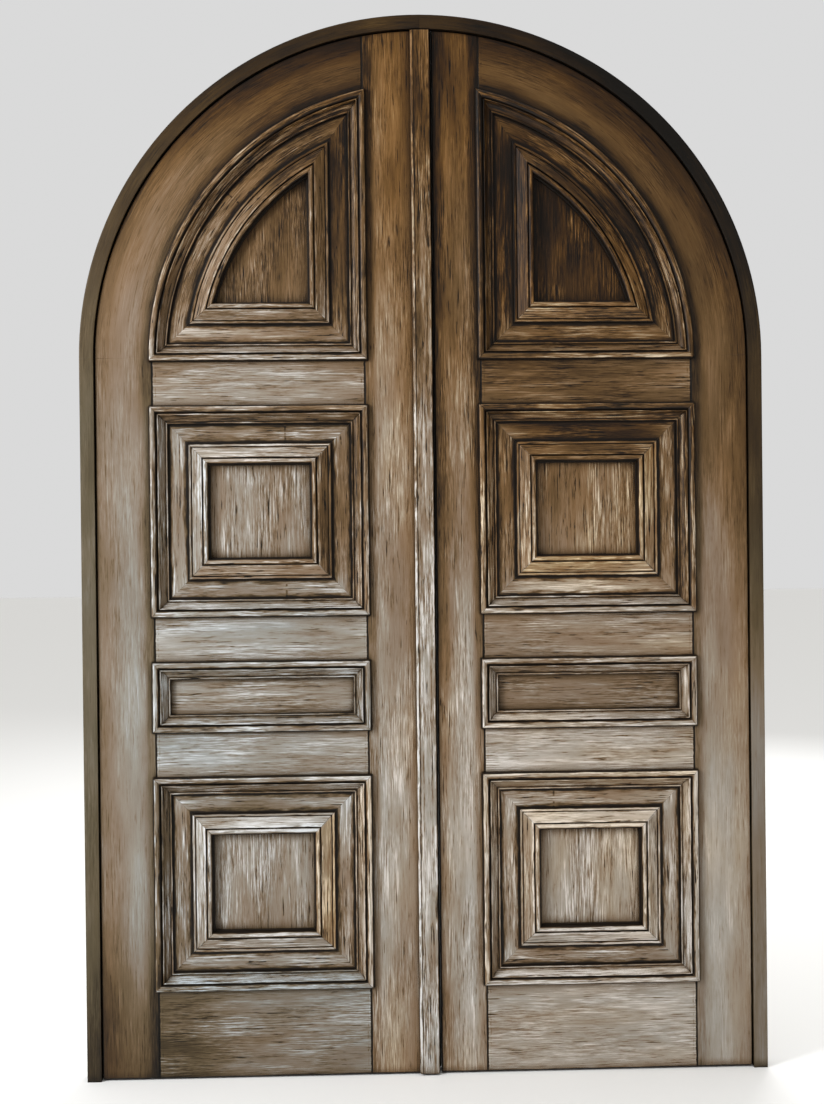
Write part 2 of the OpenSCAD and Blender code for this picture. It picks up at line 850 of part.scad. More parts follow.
mirrored() narrow_bolection();  // right_narrow_bolection
mirrored() lower_bolection();  // right_lower_bolection
mirrored() arch_band();  // right_arch_band
mirrored() upper_band();  // right_upper_band
mirrored() lower_band();  // right_lower_band
mirrored() arch_inner_moulding();  // right_arch_inner_moulding
mirrored() upper_inner_moulding();  // right_upper_inner_moulding
mirrored() lower_inner_moulding();  // right_lower_inner_moulding
frame_flaps();  // left_frame_flaps
leaf_flaps();  // left_leaf_flaps
hinge_pins();  // left_hinge_pins
frame_screws();  // left_frame_screws
leaf_screws();  // left_leaf_screws
mirrored() frame_flaps();  // right_frame_flaps
mirrored() leaf_flaps();  // right_leaf_flaps
mirrored() hinge_pins();  // right_hinge_pins
mirrored() frame_screws();  // right_frame_screws
mirrored() leaf_screws();  // right_leaf_screws
upper_bolt();
lower_bolt();
bolt_plates();
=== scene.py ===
"""Looks of the arched double door: carved mouldings, softened boards, driftwood paint with painted light and
shade, and dark iron.

Lengths in the modelling functions are in millimetres, and MM turns them into metres.
Elevations are (x, z) pairs, and a height h counts from the leaves' face towards the front.
"""
import json
import math
from collections import namedtuple

import bmesh
import bpy
from mathutils import Matrix, Vector, noise


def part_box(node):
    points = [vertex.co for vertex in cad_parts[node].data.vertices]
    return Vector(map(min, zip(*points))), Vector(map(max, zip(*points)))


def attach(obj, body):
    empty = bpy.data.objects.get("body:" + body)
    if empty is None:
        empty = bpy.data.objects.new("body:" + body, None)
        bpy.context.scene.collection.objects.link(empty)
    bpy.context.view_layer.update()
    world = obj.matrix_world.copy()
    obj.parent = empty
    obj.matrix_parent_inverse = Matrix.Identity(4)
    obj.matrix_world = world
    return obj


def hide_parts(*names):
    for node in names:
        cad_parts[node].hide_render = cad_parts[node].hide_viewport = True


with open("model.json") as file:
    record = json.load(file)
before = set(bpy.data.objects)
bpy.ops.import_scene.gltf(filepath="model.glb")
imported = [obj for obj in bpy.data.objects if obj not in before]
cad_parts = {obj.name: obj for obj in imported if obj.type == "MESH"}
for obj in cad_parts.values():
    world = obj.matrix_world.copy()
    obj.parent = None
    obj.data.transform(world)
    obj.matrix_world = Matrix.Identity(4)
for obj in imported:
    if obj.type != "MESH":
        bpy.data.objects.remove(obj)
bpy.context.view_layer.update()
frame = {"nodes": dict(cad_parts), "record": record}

MM = 0.001
BODY = {node: body for body, nodes in frame["record"]["behaviour"]["bodies"].items() for node in nodes}


def box(node):
    """Lowest and highest corner of a CAD node, in millimetres."""
    low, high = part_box(node)
    return low / MM, high / MM


# ---- Measures, all read from the frame ----

SPRINGING_Z = box("left_jamb")[1].z
FACE_Y = box("left_upper_rail")[0].y
BACK_Y = box("left_upper_rail")[1].y
FRAME_FRONT_Y = box("left_jamb")[0].y
STRIP_LOW, STRIP_HIGH = box("cover_strip")
FACE_R = STRIP_HIGH.z - SPRINGING_Z
LIP_R = box("left_meeting_stile")[1].z - SPRINGING_Z
OPENING_R = -box("left_hinge_stile")[1].x
ARCH_MIDDLE_R = (FACE_R + OPENING_R) / 2
MEETING_X = box("right_meeting_stile")[0].x


# ---- Sections: points (d, h), where d runs in from the outer edge ----

def arc_points(centre, radius, start, end, steps):
    """Points of an arc between two angles in degrees, ends included."""
    angles = [math.radians(start + (end - start) * i / steps) for i in range(steps + 1)]
    return [(centre[0] + radius * math.cos(a), centre[1] + radius * math.sin(a)) for a in angles]


WIDEST_CUT = 0.45  # the most of a side that a corner's curve may take


def softened(points, radius, steps=3):
    """The closed outline with each marked corner, a point (d, h, True), cut by a small curve."""
    out = []
    for i, point in enumerate(points):
        if len(point) == 2:
            out.append(point)
            continue
        here = point[:2]
        ends = []
        for other in (points[i - 1], points[(i + 1) % len(points)]):
            length = math.dist(here, other[:2])
            share = min(radius / length, WIDEST_CUT)
            ends.append([here[k] + (other[k] - here[k]) * share for k in (0, 1)])
        for s in range(steps + 1):
            t = s / steps
            out.append(tuple(
                (1 - t) ** 2 * ends[0][k] + 2 * t * (1 - t) * here[k] + t * t * ends[1][k] for k in (0, 1)
            ))
    return out


def refined(points, spacing):
    """The closed outline with no side longer than the spacing."""
    out = []
    for i, a in enumerate(points):
        b = points[(i + 1) % len(points)]
        pieces = max(1, math.ceil(math.dist(a, b) / spacing))
        out += [tuple(a[k] + (b[k] - a[k]) * p / pieces for k in (0, 1)) for p in range(pieces)]
    return out


BOLECTION_W, BAND_W, INNER_W = 42, 45, 50
BOARD_H = -14  # the panels' face, on which the bands and inner mouldings lie
BAND_H = -8


def bolection_section():
    bead = arc_points((9, 4.5), 8.5, 180, 0, 16)
    cove = arc_points((37.5, 10), 16.2, 186, 270, 12)
    outline = [(8, BOARD_H), (8, 0), (0, 0), (0, 4.5)] + bead
    outline += [(17.9, 3.2), (18.9, 3.2), (19.3, 9, True)] + cove
    outline += [(37.6, -3, True), (BOLECTION_W, -3, True), (BOLECTION_W, BOARD_H)]
    return refined(softened(outline, radius=0.9), spacing=2.5)


def band_section():
    outline = [(0, BOARD_H), (0, BAND_H, True), (BAND_W, BAND_H, True), (BAND_W, BOARD_H)]
    return refined(softened(outline, radius=0.8), spacing=3)


def inner_section():
    bead = arc_points((40.5, 0), 6.5, 180, 0, 14)
    outline = [(0, BOARD_H), (0, -3.5, True), (7, -3.5, True), (7.3, -6.8), (8.6, -6.8), (8.9, -4, True)]
    outline += [(32.2, 5.5, True), (32.6, -0.8), (33.7, -0.8)] + bead
    outline += [(47, -7), (INNER_W, -7, True), (INNER_W, BOARD_H)]
    return refined(softened(outline, radius=0.9), spacing=2.5)


def strip_section():
    width = STRIP_HIGH.x - STRIP_LOW.x
    height = FACE_Y - STRIP_LOW.y
    outline = [(0, 0), (0, height, True), (width, height, True), (width, 0)]
    return refined(softened(outline, radius=4, steps=5), spacing=3)


# The painter's lines over each section: (d, p), where p is 0 for black glaze, partly painted shade, 0.5 for
# bare paint and 1 for a rubbed edge, partly a painted highlight. On a board, d counts in from its edge.
LINES = {
    "bolection": [
        (0, 0.0), (2.8, 0.02), (3.7, 0.60), (5.2, 0.90), (6.8, 0.56), (10, 0.48), (13.0, 0.36),
        (14.8, 0.16), (16.0, 0.0), (19.3, 0.0), (20.4, 0.60), (22.0, 0.84), (23.6, 0.54), (29, 0.48),
        (33.4, 0.40), (35.6, 0.24), (36.6, 0.10), (38.2, 0.34), (39.5, 0.66), (40.4, 0.34),
        (41.2, 0.02), (BOLECTION_W, 0.0),
    ],
    "band": [
        (0, 0.0), (2.4, 0.06), (6.5, 0.30), (13, 0.47), (22, 0.54), (31, 0.47), (38, 0.28),
        (42.4, 0.04), (BAND_W, 0.0),
    ],
    "inner": [
        (0, 0.0), (1.5, 0.04), (2.7, 0.58), (4.8, 0.60), (6.2, 0.36), (7.0, 0.20), (8.6, 0.20),
        (10, 0.60), (13, 0.52), (26, 0.5), (29.8, 0.82), (31.4, 0.74), (32.3, 0.02), (34.4, 0.02),
        (35.9, 0.52), (38, 0.80), (40.5, 0.88), (42.8, 0.55), (45.0, 0.2), (46.4, 0.0), (INNER_W, 0.0),
    ],
    # On the strip, the rubbed left edge is a painted highlight and the black right edge is painted shade
    # beside the gap
    "strip": [
        (0, 0.40), (1, 0.95), (4.6, 1.0), (6.0, 0.06), (7.6, 0.26), (10, 0.5), (15, 0.38), (18, 0.54),
        (30, 0.5), (35, 0.40), (38.6, 0.60), (41.4, 0.90), (42.8, 0.35), (45, 0.0),
    ],
    "board": [(0, 0.0), (1.7, 0.02), (2.4, 0.30), (3.2, 0.62), (4.6, 0.54), (6.8, 0.42), (9, 0.5)],
    "plain": [(0, 0.42), (3, 0.5)],
}


# ---- Sweeps ----

def straight(start, end):
    """A lane between two corner functions: the elevation point for an inset d and a share s of the way.

    Where square is 1, the point lies square across the lane from the outer edge's point at that share.
    """
    def place(d, s, square=0.0):
        a, b = start(d), end(d)
        if square:
            from_outer, to_outer = start(0), end(0)
            run = [b[k] - a[k] for k in (0, 1)]
            outer = [from_outer[k] + (to_outer[k] - from_outer[k]) * s for k in (0, 1)]
            abreast = sum((outer[k] - a[k]) * run[k] for k in (0, 1)) / (run[0] ** 2 + run[1] ** 2)
            s += (abreast - s) * square
        return a[0] + (b[0] - a[0]) * s, a[1] + (b[1] - a[1]) * s
    return place


def curved(start, end):
    """The same lane along the arc about the springing line's middle."""
    def angle_of(point):
        return math.atan2(point[1] - SPRINGING_Z, point[0]) % (2 * math.pi)

    def place(d, s, square=0.0):
        a, b = start(d), end(d)
        radius = math.hypot(a[0], a[1] - SPRINGING_Z)
        from_angle, to_angle = angle_of(a), angle_of(b)
        if square:
            outer = angle_of(start(0)) + (angle_of(end(0)) - angle_of(start(0))) * s
            s += ((outer - from_angle) / (to_angle - from_angle) - s) * square
        angle = from_angle + (to_angle - from_angle) * s
        return radius * math.cos(angle), SPRINGING_Z + radius * math.sin(angle)
    return place


def lane_length(place):
    points = [place(0, i / 16) for i in range(17)]
    return sum(math.dist(a, b) for a, b in zip(points, points[1:]))


# Distances from a mitre at which the first rings stand, and from there to the evenly spaced ones
END_STEPS = (0.25, 0.9, 2.2, 4.5)
END_REST = 4
END_CHAMFER = {"bolection": 0.45, "band": 0.0, "inner": 0.45, "strip": 0.45}
SEAM_STEPS = (-3.5, -1.6, 0, 1.6, 3.5)
SEAM_REACH = 60  # how far from a seam the rings turn back from square to the mitres' slant
TONE_FADE = {"bolection": 3, "band": 45, "inner": 2, "strip": 3}  # from a mitre to a member's own tone and painted light
JOINT_REACH = 1.8  # how far from a mitre or seam the glaze of the joint spreads
BURIED = 0.5  # a point less than this above the panel is hidden in the joint with it
WOBBLE = 0.35  # how far back the worked surfaces stray
WOBBLE_SCALE = (0.018, 7.7, 0.05)  # along the member, from member to member, and across the section
ATTRIBUTES = ("across", "mitre", "member", "tone", "hue")


def layers_of(mesh):
    return [mesh.verts.layers.float[name] for name in ATTRIBUTES]


def stations(length, spacing):
    middle_from = END_STEPS[-1] + END_REST
    middle_to = length - middle_from
    count = max(1, round((middle_to - middle_from) / spacing))
    middle = [middle_from + (middle_to - middle_from) * i / count for i in range(count + 1)]
    return list(END_STEPS) + middle + [length - e for e in reversed(END_STEPS)]


def sweep(mesh, kind, section, place, member, tone=0.0, hue=0.0, spacing=18, flip=1, seam=None):
    """Adds one moulded length to the mesh: rings of the section along the lane, with softened ends.

    A seam is the share of the way at which a butt joint shows in the paint.
    """
    layers = layers_of(mesh)
    length = lane_length(place)
    middle = [sum(p[k] for p in section) / len(section) for k in (0, 1)]
    rings = []
    places = stations(length, spacing)
    if seam:
        places = sorted(places + [seam * length + offset for offset in SEAM_STEPS])
    for at in places:
        from_end = min(at, length - at)
        joints = [from_end] if kind != "band" else []
        joints += [abs(at - seam * length)] if seam else []
        from_joint = min(joints, default=length)
        shrink = END_CHAMFER[kind] if from_end <= END_STEPS[0] else 0
        square = math.exp(-(((at - seam * length) / SEAM_REACH) ** 2)) if seam else 0
        # The member's tone and hue, which carry its painted light and shade, fade in from the mitres
        own = 1 - math.exp(-from_end / TONE_FADE[kind])
        ring = []
        for d, h in section:
            exposed = h > BOARD_H + BURIED
            d_in = d + (shrink if d < middle[0] else -shrink) * exposed
            x, z = place(d_in, at / length, square)
            spot = [value * scale for value, scale in zip((at, member, d), WOBBLE_SCALE)]
            sway = WOBBLE * (1 + noise.noise(spot)) / 2 if exposed else 0
            vert = mesh.verts.new((flip * x * MM, (FACE_Y - h + shrink * exposed + sway) * MM, z * MM))
            joint = math.exp(-((from_joint / JOINT_REACH) ** 2))
            for layer, value in zip(layers, (d, joint, member, tone * own, hue * own)):
                vert[layer] = value
            ring.append(vert)
        rings.append(ring)
    count = len(section)
    for a, b in zip(rings, rings[1:]):
        for i in range(count):
            j = (i + 1) % count
            mesh.faces.new((a[i], a[j], b[j], b[i]))
    mesh.faces.new(rings[0])
    mesh.faces.new(list(reversed(rings[-1])))


def new_mesh():
    mesh = bmesh.new()
    for name in ATTRIBUTES:
        mesh.verts.layers.float.new(name)
    return mesh


# ---- Members of the rings ----

def square_lanes(low, high):
    """Bottom, right, top and left lanes of a rectangle, each with the direction of its grain."""
    corners = [
        lambda d: (low.x + d, low.z + d),
        lambda d: (high.x - d, low.z + d),
        lambda d: (high.x - d, high.z - d),
        lambda d: (low.x + d, high.z - d),
    ]
    return [(straight(corners[i], corners[(i + 1) % 4]), "xz"[i % 2]) for i in range(4)]


def arch_lanes(side_x, low_z, outer_r):
    """Bottom, side and arc lanes of a left arched opening."""
    def foot(d):
        z = low_z + d
        return -math.sqrt((outer_r - d) ** 2 - (z - SPRINGING_Z) ** 2), z

    def heel(d):
        return side_x - d, low_z + d

    def tip(d):
        x = side_x - d
        return x, SPRINGING_Z + math.sqrt((outer_r - d) ** 2 - x * x)

    return [(straight(foot, heel), "x"), (straight(heel, tip), "z"), (curved(tip, foot), "arc")]


SECTIONS = {"bolection": bolection_section(), "band": band_section(), "inner": inner_section()}
NODE_WORD = {"bolection": "bolection", "band": "band", "inner": "inner_moulding"}


def ring_lanes(side, opening, kind):
    node = f"{side}_{opening}_{NODE_WORD[kind]}"
    low, high = box(node)
    if opening != "arch":
        return node, square_lanes(low, high)
    bolection_low = box(f"left_arch_{NODE_WORD['bolection']}")[0]
    left_low, left_high = box(f"left_arch_{NODE_WORD[kind]}")
    outer_r = -bolection_low.x - (left_low.z - bolection_low.z)
    return node, arch_lanes(left_high.x, left_low.z, outer_r)


# ---- Materials ----

class Nodes:
    """A node tree that is built by calls; each call returns an output socket."""

    def __init__(self, tree):
        self.tree = tree
        self.tree.nodes.clear()

    def make(self, kind, sockets, output=0, **settings):
        node = self.tree.nodes.new("ShaderNode" + kind)
        for key, value in settings.items():
            setattr(node, key, value)
        for key, value in sockets.items():
            if isinstance(value, bpy.types.NodeSocket):
                self.tree.links.new(value, node.inputs[key])
            else:
                node.inputs[key].default_value = value
        return node.outputs[output]

    def math(self, operation, *values, clamp=False):
        return self.make("Math", dict(enumerate(values)), operation=operation, use_clamp=clamp)

    def times(self, a, b):
        return self.math("MULTIPLY", a, b)

    def plus(self, value, source, amount=1.0):
        """The value with that amount of the source on top."""
        return self.math("MULTIPLY_ADD", source, amount, value)

    def swung(self, value, source, amount):
        """The value moved up and down by that amount of a noise."""
        return self.plus(value, self.math("SUBTRACT", source, 0.5), amount)

    def split(self, vector):
        node = self.tree.nodes.new("ShaderNodeSeparateXYZ")
        self.tree.links.new(vector, node.inputs[0])
        return node.outputs

    def combine(self, x, y, z):
        return self.make("CombineXYZ", {0: x, 1: y, 2: z})

    def cast(self, factor, colour, tint):
        """The colour multiplied by a tint. A Mix node's colours are its inputs 6 and 7 and its output 2."""
        sockets = {0: factor, 6: colour, 7: tint}
        return self.make("Mix", sockets, output=2, data_type="RGBA", blend_type="MULTIPLY")

    def scaled(self, vector, scale):
        return self.make("VectorMath", {0: vector, 1: scale}, operation="MULTIPLY")

    def noise(self, vector, scale, detail=3, roughness=0.55, distortion=0):
        sockets = {"Vector": self.scaled(vector, scale), "Scale": 1, "Detail": detail}
        return self.make("TexNoise", sockets | {"Roughness": roughness, "Distortion": distortion})

    def attribute(self, name):
        return self.make("Attribute", {}, output="Fac", attribute_name=name)

    def ramp(self, value, stops):
        node = self.tree.nodes.new("ShaderNodeValToRGB")
        elements = node.color_ramp.elements
        while len(elements) < len(stops):
            elements.new(0.5)
        for element, (position, colour) in zip(elements, stops):
            element.position = position
            element.color = (*colour, 1)
        self.tree.links.new(value, node.inputs[0])
        return node.outputs[0]

    def remap(self, value, low, high, to_low=0.0, to_high=1.0):
        if low > high:
            low, high, to_low, to_high = high, low, to_high, to_low
        sockets = {0: value, 1: low, 2: high, 3: to_low, 4: to_high}
        return self.make("MapRange", sockets, interpolation_type="SMOOTHSTEP")

    def remap_linear(self, value, low, high):
        return self.make("MapRange", {0: value, 1: low, 2: high, 3: 0.0, 4: 1.0})

    def end(self, kind, shader):
        output = self.tree.nodes.new("ShaderNodeOutput" + kind)
        self.tree.links.new(shader, output.inputs[0])


class Paint(Nodes):
    """A material under construction."""

    def __init__(self, name):
        self.material = bpy.data.materials.new(name)
        self.material.use_nodes = True
        super().__init__(self.material.node_tree)

    def finish(self, sockets):
        self.end("Material", self.make("BsdfPrincipled", sockets))
        return self.material


MEMBER_SHIFT = (3.1, 1.7, 5.3)  # how far the grain moves from one member's number to the next


def grain_coordinates(paint, direction):
    """The grain's (across, depth, along) in metres, x, z, and the distance in mm from the door's middle.

    Each member's own number moves the grain. Round the arch, the distance is from the arch's middle.
    """
    x, y, z = paint.split(paint.make("TexCoord", {}, output="Object"))
    if direction == "z":
        across, along = x, z
    elif direction == "x":
        across, along = z, x
    else:
        rise = paint.math("SUBTRACT", z, SPRINGING_Z * MM)
        squares = paint.math("ADD", paint.times(x, x), paint.times(rise, rise))
        across = paint.times(paint.math("SQRT", squares), paint.math("SIGN", x))
        turn = paint.math("ARCTAN2", rise, paint.math("ABSOLUTE", x))
        along = paint.plus(SPRINGING_Z * MM, turn, ARCH_MIDDLE_R * MM)
    member = paint.attribute("member")
    moved = paint.scaled(paint.combine(member, member, member), MEMBER_SHIFT)
    grain = paint.make("VectorMath", {0: paint.combine(across, y, along), 1: moved}, operation="ADD")
    reach = paint.times(paint.math("ABSOLUTE", across), 1 / MM)
    return grain, x, z, reach


PAINT_DEPTH = 0.84  # how much darker the paint itself is than it looks in the studio light


def linear(*rgb):
    """Linear colour of the paint that looks like this screen colour, given as 0 to 255."""
    values = [(c / 255 / 12.92) if c < 10.3 else ((c / 255 + 0.055) / 1.055) ** 2.4 for c in rgb]
    return tuple(v * PAINT_DEPTH for v in values)


# Paint from the black glaze and painted shade to the rubbed edges and painted highlights: dark tones are warm
# and pale ones are nearly grey
WOOD_STOPS = [
    (0.0, linear(12, 7, 2)),
    (0.08, linear(34, 22, 9)),
    (0.17, linear(64, 46, 23)),
    (0.29, linear(98, 76, 47)),
    (0.38, linear(123, 98, 70)),
    (0.47, linear(141, 119, 98)),
    (0.56, linear(158, 143, 124)),
    (0.65, linear(174, 165, 152)),
    (0.75, linear(203, 191, 178)),
    (0.90, linear(236, 229, 221)),
]
# Painted light and shade over the height z in metres, on the left side of the door and on the right: darker
# towards the top
LEFT_PAINTED_LIGHT = [
    (0.0, 0.42), (0.14, 0.45), (0.45, 0.54), (1.0, 0.53), (1.5, 0.51), (1.8, 0.41), (2.1, 0.31), (2.3, 0.19),
]
RIGHT_PAINTED_LIGHT = [
    (0.0, 0.58), (0.15, 0.62), (0.5, 0.66), (0.85, 0.59), (1.15, 0.46), (1.5, 0.30), (2.0, 0.22), (2.4, 0.20),
]
# How warm (1) or cool (-1) the paint and its painted light are over the same heights
LEFT_HUES = [
    (0.0, -0.1), (0.3, -0.5), (0.9, -0.6), (1.2, -0.45), (1.5, -0.45), (1.7, 0.0), (2.0, 0.3), (2.35, 0.8),
]
RIGHT_HUES = [
    (0.0, -0.2), (0.3, -0.15), (0.5, 0.0), (1.15, 0.05), (1.5, 0.35), (1.8, 0.45), (2.1, 0.6), (2.4, 0.8),
]
WARM, COOL = (1.22, 0.975, 0.56, 1), (0.82, 1.02, 1.24, 1)
TOP_Z = 2.5  # the height at which the tables end
# Painted shade and hue across some boards, by distance in millimetres from the door's middle or the arch's:
# painted shadows beside the mouldings, the cover strip and the frame
SHADE_PROFILES = {
    "stile": [
        (620, -0.19, -0.3), (636, -0.15, -0.3), (646, -0.04, -0.1), (662, 0.02, -0.1), (696, -0.01, 0.0),
        (722, -0.07, 0.2), (748, -0.10, 0.25),
    ],
    "left_meeting": [
        (22, -0.04, 0.4), (45, -0.01, 0.35), (80, 0.04, 0.3), (105, 0.05, 0.2), (114, -0.10, 0.2),
        (134, -0.18, 0.1),
    ],
    "right_meeting": [
        (22, -0.18, 0.5), (44, -0.14, 0.4), (58, -0.03, 0.25), (90, 0.04, 0.15), (106, 0.03, 0.1),
        (116, -0.12, 0.2), (134, -0.18, 0.2),
    ],
}
# Noises over the grain: repeats a metre across, through and along it, then detail, roughness, distortion
NOISES = {
    "broad": ((6, 6, 1.7), 3),
    "patch": ((22, 14, 5), 3),
    "streak": ((380, 130, 13), 4, 0.62, 0.3),
    "fine": ((760, 300, 40), 3, 0.65),
    "lively": ((16, 14, 6), 2),
    "stroke": ((110, 60, 16), 3, 0.6, 0.4),
    "smear": ((70, 50, 4.5), 3, 0.6, 0.5),
    "hue": ((11, 9, 2.6), 2),
    "worn": ((130, 90, 22), 3, 0.65),
}
# How far each noise moves the lightness, alone or with the strength of the brushwork or of the grain
BROAD_SWING, PATCH_SWING = 0.38, 0.17
PATCH_BY_BRUSH, SMEAR_BY_BRUSH = 0.11, 0.13
STREAK_BY_GRAIN, FINE_BY_GRAIN = 0.84, 0.85
BRUSHED, STAINED = 0.15, -0.24  # light strokes of a dry brush and dark stains, by the brushwork
UPWARD_PAINTED_LIGHT, DOWNWARD_PAINTED_SHADE = 0.10, -0.06  # painted light on mouldings that face up and painted shade on those that face down
LOW_CORNER_SHADE = -0.18  # painted shade at the foot of the left leaf
FRAME_TONE = 0.46  # the tone towards which the painted light and shade on the frame's left side is evened
PROFILE_STRAY, LINE_STRAY = 14.0, 4.0  # how far in millimetres the bands of painted shade and the lines wander
LINE_SWELL = 0.7  # how much wear thickens and thins the dark lines
GLAZE_AND_SHADE_DEPTH, SHADE_REACH = -0.93, 0.026  # how dark the glaze and painted shade are, and how far in metres the painted shade in corners and hollows spreads
RUBBED_AND_HIGHLIGHT_LIFT = 0.85  # how much of its own lightness a rubbed edge gains, partly as a painted highlight
MOULDINGS = ("bolection", "inner")


def lines_over(paint, kind, place):
    """The painter's lines of a section as p, read at a distance in millimetres."""
    width = max(d for d, p in LINES[kind])
    position = paint.math("DIVIDE", place, width)
    return paint.ramp(position, [(d / width, (p, p, p)) for d, p in LINES[kind]])


def height_ramp(paint, height, stops):
    """A value over the height z.

    A colour ramp holds no negative number, so each stop goes in moved up by one.
    """
    ramp = paint.ramp(height, [(at / TOP_Z, (value + 1,) * 3) for at, value in stops])
    return paint.math("SUBTRACT", ramp, 1.0)


def profile_ramps(paint, reach, stops):
    """Painted shade and hue across a board, from the distance to the middle in millimetres."""
    low, high = stops[0][0], stops[-1][0]
    position = paint.remap_linear(reach, low, high)
    places = [(stop[0] - low) / (high - low) for stop in stops]
    ramps = [
        paint.ramp(position, [(place, (stop[column] + 1,) * 3) for place, stop in zip(places, stops)])
        for column in (1, 2)
    ]
    return [paint.math("SUBTRACT", ramp, 1.0) for ramp in ramps]


def painted_light_and_hue(paint, look, noises, x, z):
    """Painted light and shade, and hue, over the door as a whole."""
    height = paint.math("DIVIDE", z, TOP_Z)
    left, right, left_hue, right_hue = (
        height_ramp(paint, height, stops) for stops in (LEFT_PAINTED_LIGHT, RIGHT_PAINTED_LIGHT, LEFT_HUES, RIGHT_HUES)
    )
    to_right = paint.remap(x, -0.40, 0.30)
    painted_light_ground = paint.plus(left, to_right, paint.math("SUBTRACT", right, left))
    # Painted shade at the foot of the left leaf
    low_corner = paint.times(paint.remap(x, -0.40, -0.56), paint.remap(z, 0.36, 0.10))
    painted_light_ground = paint.plus(painted_light_ground, low_corner, LOW_CORNER_SHADE)
    if look.evened:
        missing = paint.math("SUBTRACT", FRAME_TONE, painted_light_ground)
        painted_light_ground = paint.plus(painted_light_ground, paint.times(paint.remap(x, 0.3, -0.3), missing), look.evened)
    hue = paint.plus(left_hue, to_right, paint.math("SUBTRACT", right_hue, left_hue))
    hue = paint.math("ADD", hue, paint.attribute("hue"))
    return painted_light_ground, paint.swung(hue, noises["hue"], 1.0)


def brushwork(paint, look, noises, value, z):
    """The lightness with its blotches, grain, dry-brushed strokes and stains."""
    streak, stroke, patch = (noises[name] for name in ("streak", "stroke", "patch"))
    for source, amount in (
        (noises["broad"], BROAD_SWING),
        (patch, PATCH_SWING + PATCH_BY_BRUSH * look.brush),
        (noises["smear"], SMEAR_BY_BRUSH * look.brush),
    ):
        value = paint.swung(value, source, amount)
    lively = paint.remap(noises["lively"], 0.40, 0.62, 0.30, 1.30)
    for source, amount in ((streak, STREAK_BY_GRAIN), (noises["fine"], FINE_BY_GRAIN)):
        swing = paint.times(paint.math("SUBTRACT", source, 0.5), amount * look.grain)
        value = paint.plus(value, swing, lively)
    brushed = paint.times(paint.remap(streak, 0.49, 0.68), paint.remap(patch, 0.46, 0.60))
    # The dry-brushed strokes dim towards the top with the painted light falloff
    brushed = paint.times(brushed, paint.remap(z, 2.0, 1.4, 0.25, 1.0))
    value = paint.plus(value, brushed, BRUSHED * look.brush)
    stained = paint.times(paint.remap(streak, 0.47, 0.36), paint.remap(stroke, 0.50, 0.62))
    return paint.plus(value, stained, STAINED * look.brush)


def glazed_shaded_and_highlit(paint, look, noises, value, painted_light_ground):
    """The lightness with dark glaze and painted shade in lines, corners and hollows, and with rubbed edges,
    painted highlights and joints.
    """
    stroke, worn = noises["stroke"], noises["worn"]
    line = lines_over(paint, look.lines, paint.swung(paint.attribute("across"), stroke, LINE_STRAY))
    swollen = paint.swung(line, worn, LINE_SWELL)
    drawn = paint.times(paint.remap(swollen, 0.5, 0.05), paint.remap(line, 0.52, 0.44))
    # Painted shade from the ambient occlusion: partly the glaze that collects in corners and hollows, partly
    # the shadows beside raised parts
    occlusion = paint.make("AmbientOcclusion", {"Distance": SHADE_REACH}, output="AO", samples=5)
    corner = paint.remap(occlusion, 0.55, 0.18)
    hollow = paint.times(
        paint.remap(occlusion, 0.96, 0.48), paint.remap(noises["patch"], 0.25, 0.65, 0.35, 0.95)
    )
    dark = paint.math("MAXIMUM", paint.math("MAXIMUM", corner, hollow), drawn)
    value = paint.times(value, paint.plus(1.0, dark, GLAZE_AND_SHADE_DEPTH))
    rubbed = paint.times(paint.remap(line, 0.5, 1.0), paint.remap(worn, 0.46, 0.62, 0.0, 1.15))
    value = paint.plus(value, rubbed, paint.times(painted_light_ground, RUBBED_AND_HIGHLIGHT_LIFT))
    if look.lines not in MOULDINGS + ("band",):
        return value
    joint_range = (-0.15, 0.22) if look.lines in MOULDINGS else (-0.35, 0.05)
    joint = paint.times(paint.attribute("mitre"), paint.remap(stroke, 0.4, 0.6, *joint_range))
    return paint.math("ADD", value, joint)


